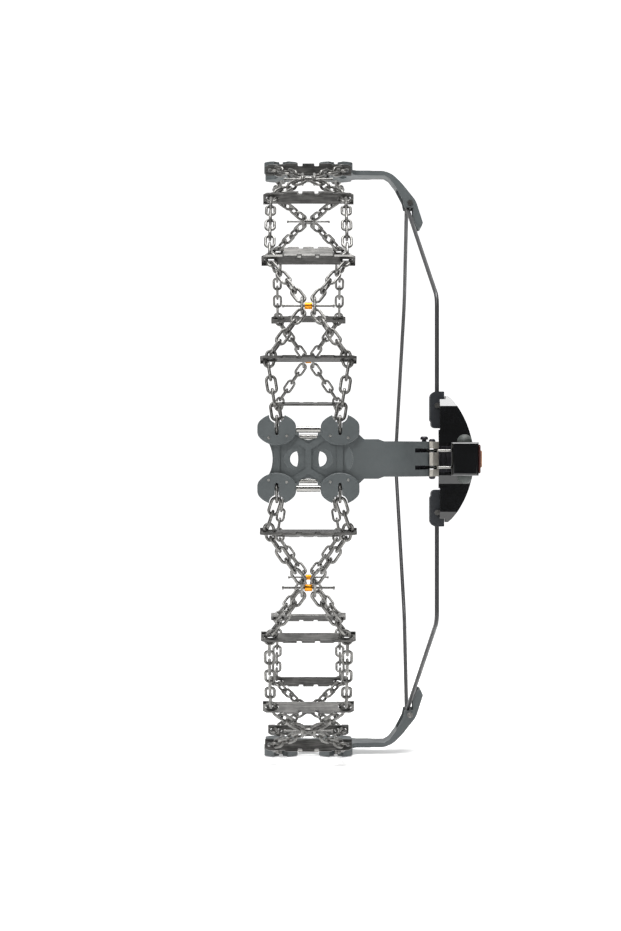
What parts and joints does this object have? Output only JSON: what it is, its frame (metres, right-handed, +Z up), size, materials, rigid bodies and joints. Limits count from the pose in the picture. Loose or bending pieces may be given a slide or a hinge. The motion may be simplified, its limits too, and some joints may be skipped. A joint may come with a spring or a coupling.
{
  "type": "tire snow chain",
  "caption": "Externally mounted tyre chain: ladder net with toothed bars, plates with arms over the shoulder, rods and a ratchet tensioner.",
  "frame": {"origin": "on the wheel's axis, at the middle of the chain net's width", "axes": "+X along the wheel's axis towards the wheel's outer side, +Z up, -Y towards the tensioner"},
  "size_m": [0.2393, 0.7146, 0.7146],
  "materials": {
    "chain_steel": "zinc plated, worn",
    "bar_steel": "hardened and plated",
    "plate_grey": "satin grey coating",
    "pin_steel": "turned",
    "rivet_steel": "bright domed heads",
    "sleeve_steel": "polished",
    "brass_spacer": "turned",
    "rod_black": "black powder coat",
    "crosspiece_metal": "satin",
    "knob_steel": "satin",
    "gloss_black": "polished",
    "block_slate": "moulded",
    "frame_black": "black coat",
    "cap_brown": "moulded",
    "button_peach": "moulded",
    "knob_grey": "textured",
    "strap_black": "moulded"
  },
  "bodies": {
    "net": {"anchor_pins": "pin_steel", "anchor_sleeves": "sleeve_steel", "arm_crosspiece": "crosspiece_metal", "arm_studs": "knob_steel", "back_rod_lower": "rod_black", "back_rod_upper": "rod_black", "bracket_pins": "pin_steel", "chain_inner_back_bottom": "chain_steel", "chain_inner_bottom_front": "chain_steel", "chain_inner_front_top": "chain_steel", "chain_inner_top_back": "chain_steel", "chain_outer_back_bottom": "chain_steel", "chain_outer_bottom_front": "chain_steel", "chain_outer_front_top": "chain_steel", "chain_outer_top_back": "chain_steel", "cover_rivets": "rivet_steel", "cross_pins": "pin_steel", "cross_spacers_brass": "brass_spacer", "cross_spacers_steel": "pin_steel", "grip_bar_back_bottom_1": "bar_steel", "grip_bar_back_bottom_2": "bar_steel", "grip_bar_back_bottom_3": "bar_steel", "grip_bar_back_bottom_4": "bar_steel", "grip_bar_bottom_front_1": "bar_steel", "grip_bar_bottom_front_2": "bar_steel", "grip_bar_bottom_front_3": "bar_steel", "grip_bar_bottom_front_4": "bar_steel", "grip_bar_front_top_1": "bar_steel", "grip_bar_front_top_2": "bar_steel", "grip_bar_front_top_3": "bar_steel", "grip_bar_front_top_4": "bar_steel", "grip_bar_top_back_1": "bar_steel", "grip_bar_top_back_2": "bar_steel", "grip_bar_top_back_3": "bar_steel", "grip_bar_top_back_4": "bar_steel", "slot_covers": "plate_grey", "traction_plate_back": "plate_grey", "traction_plate_bottom": "plate_grey", "traction_plate_front": "plate_grey", "traction_plate_top": "plate_grey"},
    "tensioner": {"guide_pins": "sleeve_steel", "guide_slider": "frame_black", "bow": "gloss_black", "block_screws": "pin_steel", "ratchet_frame": "frame_black", "pawl_pin": "pin_steel"},
    "upper_link": {"end_block_upper": "block_slate", "front_rod_upper": "rod_black"},
    "lower_link": {"end_block_lower": "block_slate", "front_rod_lower": "rod_black"},
    "lever": {"ratchet_lever": "gloss_black", "lever_cap": "cap_brown"},
    "button": {"release_button": "button_peach"},
    "drum": {"strap_drum": "pin_steel", "drum_axle": "pin_steel", "axle_knobs": "knob_grey"},
    "pawl": {"pawl": "pin_steel"},
    "strap": {"tension_strap": "strap_black"},
    "adapter": {"bolt_adapter": "frame_black"},
    "locking_knob": {"locking_knob": "knob_steel"}
  },
  "joints": [
    {"name": "tensioner_slide", "type": "slide", "parent": "net", "child": "tensioner", "axis": [1, 0, 0], "range_m": [-0.006, 0.004]},
    {"name": "upper_link_pivot", "type": "hinge", "parent": "tensioner", "child": "upper_link", "pos_m": [0.142, -0.2215, 0.059], "axis": [0, 1, 0], "range_deg": [-1, 1.5]},
    {"name": "lower_link_pivot", "type": "hinge", "parent": "tensioner", "child": "lower_link", "pos_m": [0.142, -0.2215, -0.059], "axis": [0, 1, 0], "range_deg": [-1.5, 1]},
    {"name": "lever_pivot", "type": "hinge", "parent": "tensioner", "child": "lever", "pos_m": [0.1698, -0.262, 0], "axis": [0, 0, 1], "range_deg": [0, 90]},
    {"name": "release_button_press", "type": "slide", "parent": "lever", "child": "button", "axis": [-1, 0, 0], "range_m": [0, 0.002], "stiffness_N_per_m": 800},
    {"name": "drum_turn", "type": "hinge", "parent": "tensioner", "child": "drum", "pos_m": [0.1698, -0.262, 0], "axis": [0, 0, 1], "range_deg": [-150, 0]},
    {"name": "strap_feed", "type": "slide", "parent": "tensioner", "child": "strap", "axis": [0, 1, 0], "range_m": [0, 0.02356]},
    {"name": "pawl_pivot", "type": "hinge", "parent": "tensioner", "child": "pawl", "pos_m": [0.174, -0.2758, 0], "axis": [0, 0, 1], "range_deg": [0, 14], "stiffness_Nm_per_rad": 0.02},
    {"name": "adapter_swivel", "type": "hinge", "parent": "strap", "child": "adapter", "pos_m": [0.15, -0.05715, 0], "axis": [1, 0, 0], "continuous": true},
    {"name": "locking_knob_pull", "type": "slide", "parent": "net", "child": "locking_knob", "axis": [0, 0, 1], "range_m": [0, 0.005], "stiffness_N_per_m": 400}
  ],
  "couplings": [
    {"joint": "upper_link_pivot", "follows": "tensioner_slide", "rad_per_m": -3.9841},
    {"joint": "lower_link_pivot", "follows": "tensioner_slide", "rad_per_m": 3.9841},
    {"joint": "drum_turn", "follows": "strap_feed", "rad_per_m": -111.11}
  ]
}
